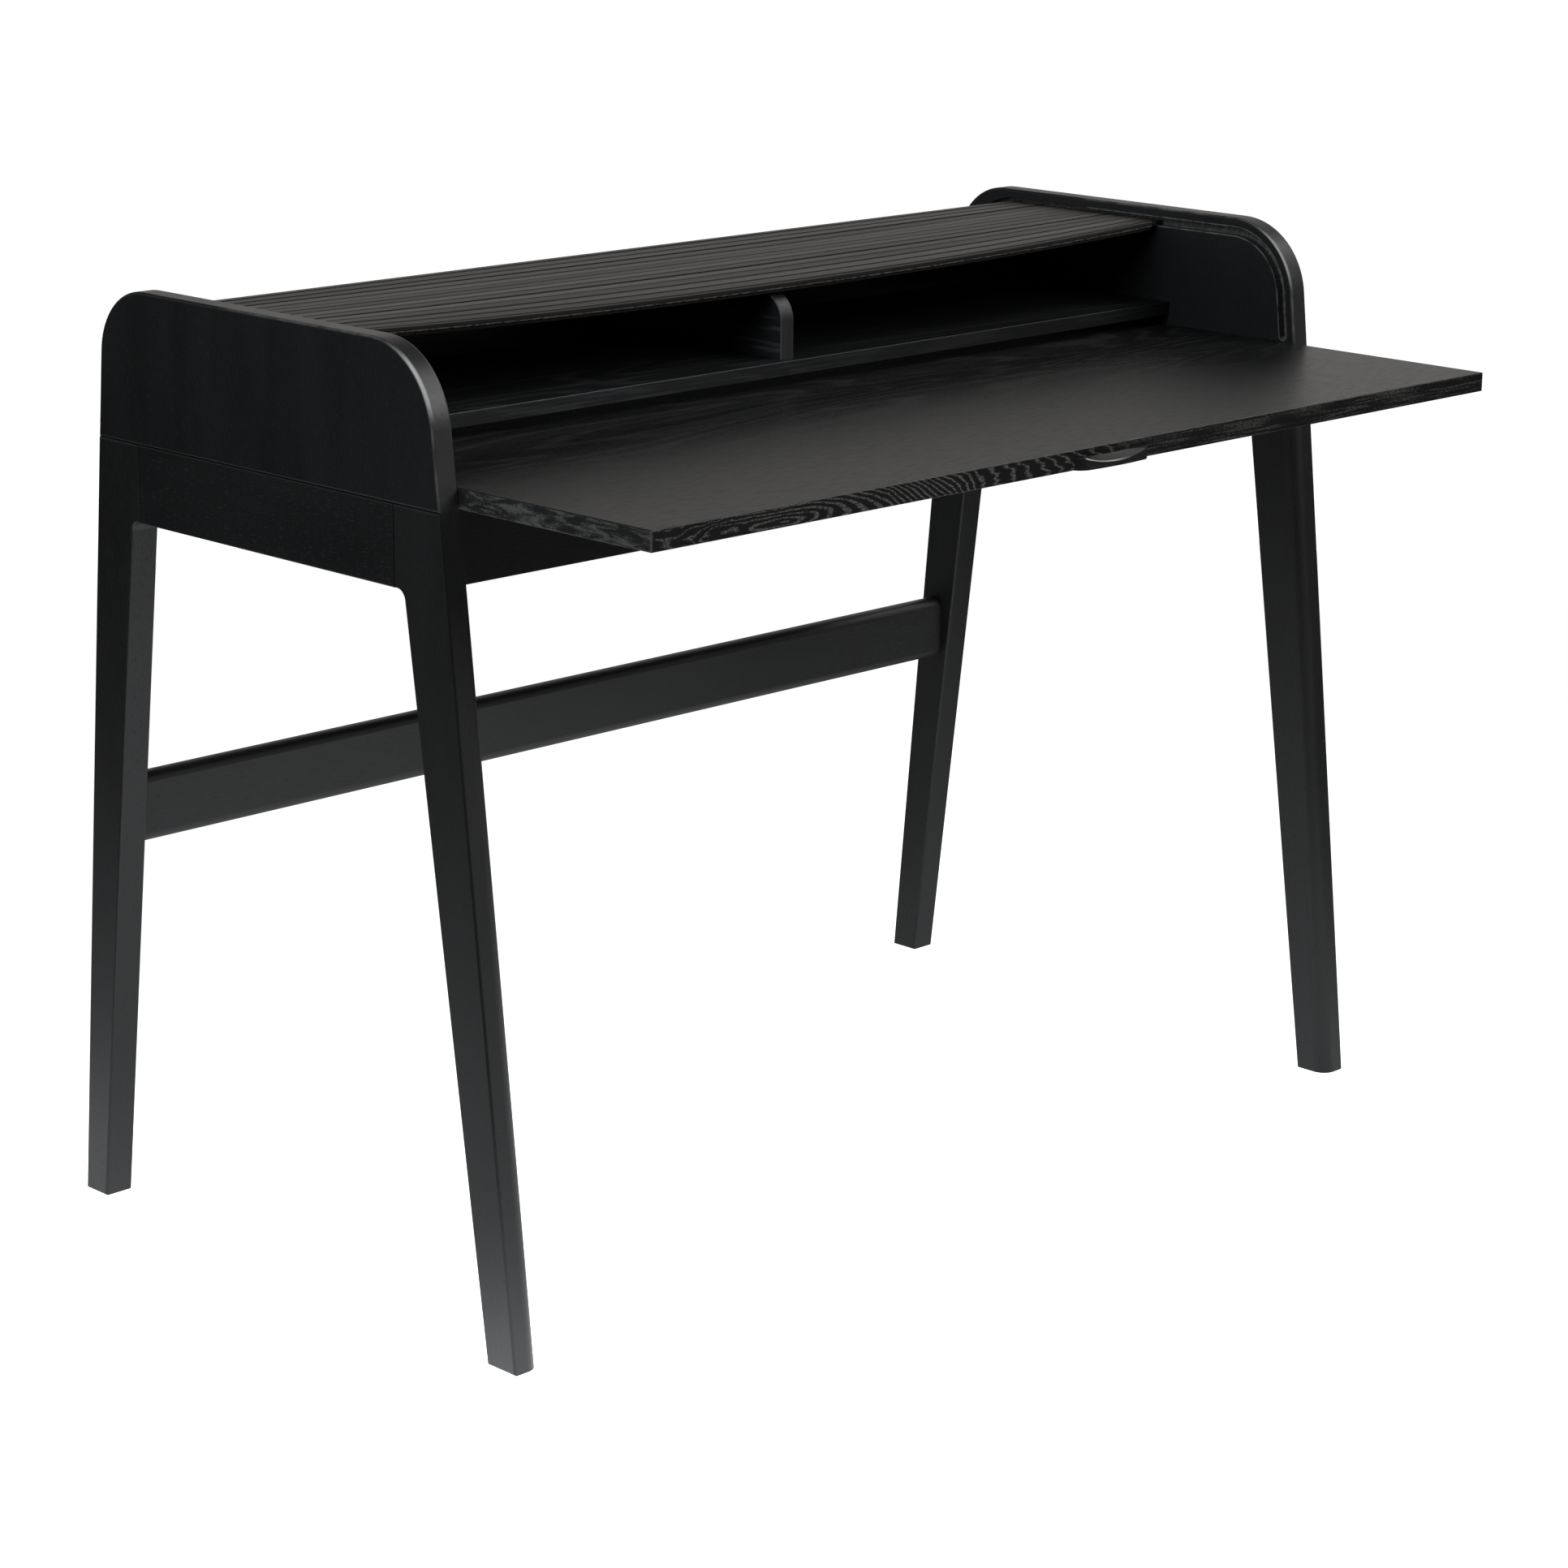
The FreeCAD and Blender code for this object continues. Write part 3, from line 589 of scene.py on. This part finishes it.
# The finish of each CAD node, by the longest of these words that is in its name.
dressing = {
    "side_panel": finish("panel_black", coat(panel_look)),
    "leg": finish("leg_black", coat(leg_look)),
    "side_rail": finish("rail_black", coat(rail_look)),
    "rear_stretcher": finish("stretcher_black", coat(stretcher_look)),
    "shelf_divider": finish("divider_black", coat(divider_look, Specular_IOR_Level=0.35)),
    "inner_back_board": finish("back_board_black", coat(back_board_look)),
    "worktop": finish("worktop_ash", joined(worktop_edge, worktop_face, worktop_band)),
    "worktop_pull": finish("pull_black", coat(pull_look, Specular_IOR_Level=0.4)),
    "shelf": finish("shelf_ash", coat(shelf_look, Specular_IOR_Level=0.3)),
    "apron": finish("apron_ash", coat(apron_look, Specular_IOR_Level=0.2)),
    "tambour_slat": tail_brown,
    "tambour_lead_rail": tail_brown,
    "tambour_canvas": canvas_black,
    "fixed_runner": runner_wash,
    "worktop_slider": runner_wash,
    "dowels": finish("dowel_beech", coat(dowel_look)),
    "screws": finish("screw_steel", coat(screw_look, Metallic=1.0)),
}
for name, piece in nodes.items():
    best = max((word for word in dressing if word in name), key=len)
    for material_slot in piece.material_slots:
        material_slot.material = dressing[best]


def piece_of(name, form, material):
    """Turns a finished bmesh into a piece of the scene."""
    mesh = bpy.data.meshes.new(name)
    form.to_mesh(mesh)
    form.free()
    mesh.materials.append(material)
    piece = bpy.data.objects.new(name, mesh)
    bpy.context.scene.collection.objects.link(piece)
    return piece


def sag(place):
    """How far the flat shutter hangs below its grooves: a little all over, and further at the front."""
    out = min(abs(place.x) / inner_face, 1.0)
    from_bend = min(max((bend_start - place.y) / hang_run, 0.0), 1.0)
    return hang_depth * from_bend * (1.0 - out ** 2) + tip(place.y) * (1.0 - out ** tip_power)


def box_form(form, low, high):
    """Adds a box between two corners."""
    verts = bmesh.ops.create_cube(form, size=1.0)["verts"]
    bmesh.ops.scale(form, vec=high - low, verts=verts)
    bmesh.ops.translate(form, vec=(low + high) / 2, verts=verts)


def edges_where(form, test):
    """The edges whose two ends both pass a test."""
    return [edge for edge in form.edges if all(test(vert.co) for vert in edge.verts)]


def runs_across(edge):
    """True for an edge that runs from panel to panel."""
    return abs(edge.verts[0].co.x - edge.verts[1].co.x) > shoulder


def round_over(form, edges, radius, segments):
    bmesh.ops.bevel(
        form, geom=edges, offset=radius, segments=segments, profile=0.5, affect="EDGES", material=-1
    )


def slat_rounding(form):
    round_over(form, [edge for edge in form.edges if runs_across(edge)], 0.0014, 3)


def lead_rounding(form):
    """Corners rounded in plan, then a round nose above and a chamfer below."""
    plan_radius, nose_radius = 0.013, 0.0032
    front = lead_low.y + plan_radius + hairline
    fronts = edges_where(form, lambda co: co.y < lead_low.y + 0.001)
    round_over(form, [edge for edge in fronts if not runs_across(edge)], plan_radius, 6)
    upper = edges_where(form, lambda co: co.z > lead_high.z - hairline and co.y < front)
    round_over(form, upper, nose_radius, 5)
    lower = edges_where(form, lambda co: co.z < lead_low.z + hairline and co.y < front)
    round_over(form, lower, lead_chamfer, 1)


def hang(form, shift):
    """Cuts a form across at even steps and lets it hang as the shutter does."""
    cuts_each_side, cut_step = 30, 0.0172
    for step in range(-cuts_each_side, cuts_each_side + 1):
        geometry = form.verts[:] + form.edges[:] + form.faces[:]
        cut = Vector((step * cut_step, 0.0, 0.0))
        bmesh.ops.bisect_plane(form, geom=geometry, plane_co=cut, plane_no=(1.0, 0.0, 0.0))
    for vert in form.verts:
        vert.co.z -= sag(vert.co) + shift


def shutter_bar(node, rounding, uneven):
    """A bar of the shutter: a rounded body between the panels, and a thin tongue at each end."""
    low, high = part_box(node)
    form = bmesh.new()
    box_form(form, Vector((-shoulder, low.y, low.z)), Vector((shoulder, high.y, high.z)))
    rounding(form)
    most_tilt, most_step = 0.012, 0.00012
    tilt = Matrix.Rotation(uneven * most_tilt, 3, "X")
    bmesh.ops.rotate(form, cent=(low + high) / 2, matrix=tilt, verts=form.verts)
    overlap, setback, inside = 0.004, 0.0013, tongue * 0.1
    for side in (-1.0, 1.0):
        ends = sorted((side * (shoulder - overlap), side * high.x))
        first = Vector((ends[0], low.y + setback, high.z - tongue + inside))
        box_form(form, first, Vector((ends[1], high.y - setback, high.z - inside)))
    hang(form, most_step * (1.0 + uneven))
    bar = piece_of(node.replace("tambour", "shutter"), form, shutter_brown)
    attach(bar, "tambour")
    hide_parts(node)


def backing_cloth():
    """The canvas under the flat slats: pulled flat under each slat and a little slack at the gaps."""
    low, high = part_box("tambour_canvas")
    size = high - low
    middle = (low + high) / 2
    drop, slack, sharpness, thickness = 0.0004, 0.0001, 16, 0.0003
    form = bmesh.new()
    bmesh.ops.create_grid(form, x_segments=24, y_segments=96, size=0.5)
    bmesh.ops.scale(form, vec=(size.x, size.y, 1.0), verts=form.verts)
    bmesh.ops.translate(form, vec=(middle.x, middle.y, high.z - drop), verts=form.verts)
    for vert in form.verts:
        phase = (vert.co.y - first_gap) / slat_pitch
        vert.co.z -= slack * math.cos(math.pi * phase) ** sharpness + sag(vert.co)
    bmesh.ops.solidify(form, geom=form.faces[:], thickness=thickness)
    bmesh.ops.recalc_face_normals(form, faces=form.faces[:])
    cloth = piece_of("shutter_cloth", form, canvas_black)
    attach(cloth, "tambour")
    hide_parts("tambour_canvas")


shutter_bar("tambour_lead_rail", lead_rounding, 0.0)
for number, name in enumerate(slat_names):
    uneven = math.sin(4.7 * number + 0.6)
    shutter_bar(name, slat_rounding, uneven)
backing_cloth()


def plane(name, size, height, material):
    form = bmesh.new()
    bmesh.ops.create_grid(form, x_segments=1, y_segments=1, size=size / 2)
    bmesh.ops.translate(form, vec=(0.0, 0.0, height), verts=form.verts)
    return piece_of(name, form, material)


def floor_look(place):
    """A pale floor, which also glows so that it comes out white."""
    grit = noise(place, 90.0, 3.0)
    colour = tint(grit, (0.86, 0.86, 0.86), (0.9, 0.9, 0.9))
    roughness = 0.75 + grit * 0.1
    depth = 0.0001
    return colour, roughness, grit, depth


# Soft pools of light on the floor: each with its centre, reach and strength.
pools = [
    (0.5, -0.9, 1.1, 1.2),
    (0.0, -0.1, 1.1, 0.75),
    (-0.8, 0.8, 1.1, 0.45),
    (0.9, 0.6, 1.1, 0.47),
    (-0.62, -0.36, 0.5, 2.2),
    (-0.66, 0.40, 0.5, 0.75),
]
pool_tone = (0.96, 0.98, 1.0)
white = (1.0, 1.0, 1.0, 1.0)


def glow(place):
    """Light that the pale floor sends back up, from all the pools."""
    total = 0.0
    for x, y, reach, strength in pools:
        centre = {0: place, 1: (x, y, 0.0)}
        away = place.node("ShaderNodeVectorMath", {"operation": "DISTANCE"}, centre, "Value")
        total = rise(away, reach, 0.1 * reach) * strength + total
    scaled = {0: pool_tone, "Scale": total}
    colour = place.node("ShaderNodeVectorMath", {"operation": "SCALE"}, scaled)
    return place.node("ShaderNodeEmission", {}, {"Color": colour})


floor_pale = finish("floor_pale", coat(floor_look, Emission_Color=white, Emission_Strength=1.0))
floor = plane("floor", size=120.0, height=-0.002, material=floor_pale)
floor.visible_glossy = False
floor.visible_diffuse = False
floor_light = plane("floor_light", size=5.0, height=-0.001, material=finish("floor_light", glow))
floor_light.visible_camera = False


def softbox(name, place, target, width, height, radiance, tone=(1.0, 1.0, 1.0)):
    """A rectangular light that faces a target and that the camera doesn't see."""
    light = bpy.data.lights.new(name, "AREA")
    light.shape = "RECTANGLE"
    light.size = width
    light.size_y = height
    light.energy = radiance * math.pi * width * height
    light.color = tone
    box = bpy.data.objects.new(name, light)
    box.location = place
    box.rotation_euler = (Vector(target) - Vector(place)).to_track_quat("-Z", "Y").to_euler()
    box.visible_camera = False
    bpy.context.scene.collection.objects.link(box)


# Each light has its place, what it faces, its width and height, its radiance and its tone.
warm, cool = (1.0, 0.97, 0.945), (0.93, 0.97, 1.0)
softbox("back_softbox", (2.1, 2.2, 1.65), (0.0, 0.0, 0.8), 3.6, 2.2, 0.56, warm)
softbox("front_softbox", (1.3, -2.4, 2.2), (0.2, 0.0, 0.75), 1.8, 1.4, 4.9)
softbox("top_softbox", (1.5, -0.75, 2.3), (-0.5, -0.1, 0.8), 0.9, 0.9, 6.0)
softbox("top_left_softbox", (-1.6, -0.6, 2.5), (0.0, 0.0, 0.75), 1.6, 1.6, 2.9, cool)
softbox("left_softbox", (-3.0, 0.6, 1.5), (0.0, 0.0, 0.7), 1.8, 1.4, 1.3, cool)
softbox("back_left_softbox", (-1.4, 2.6, 1.6), (0.0, 0.0, 0.8), 2.2, 1.6, 0.25, cool)


def studio():
    """A dim room, which the camera sees as pale as the floor."""
    dimness = 0.01
    world = bpy.data.worlds.new("studio")
    world.use_nodes = True
    tree = world.node_tree
    seen = Shade(tree.nodes.new("ShaderNodeLightPath").outputs["Is Camera Ray"])
    strength = seen * (1.0 - dimness) + dimness
    tree.links.new(strength.socket, tree.nodes["Background"].inputs["Strength"])
    tree.nodes["Background"].inputs["Color"].default_value = white
    bpy.context.scene.world = world
    bpy.context.scene.view_settings.view_transform = "Standard"


def camera():
    """The photograph's viewpoint: turned 45 degrees to the left, 15 degrees above the horizon."""
    turn, height, roll = math.radians(-45.1415), math.radians(15.4121), 0.009887
    right = Vector((math.cos(turn), math.sin(turn), 0.0))
    level_back = Vector((math.sin(turn), -math.cos(turn), 0.0))
    back = level_back * math.cos(height) + Vector((0.0, 0.0, math.sin(height)))
    up = back.cross(right)
    tilted_right = math.cos(roll) * right + math.sin(roll) * up
    tilted_up = math.cos(roll) * up - math.sin(roll) * right
    lens = bpy.data.cameras.new("camera")
    lens.sensor_width = 36.0
    lens.lens = 93.484
    lens.shift_x = -0.002086
    lens.clip_end = 200.0
    view = bpy.data.objects.new("camera", lens)
    view.matrix_world = Matrix((tilted_right, tilted_up, back)).transposed().to_4x4()
    view.location = (-2.57749, -2.54692, 1.35287)
    bpy.context.scene.collection.objects.link(view)
    bpy.context.scene.camera = view


studio()
camera()
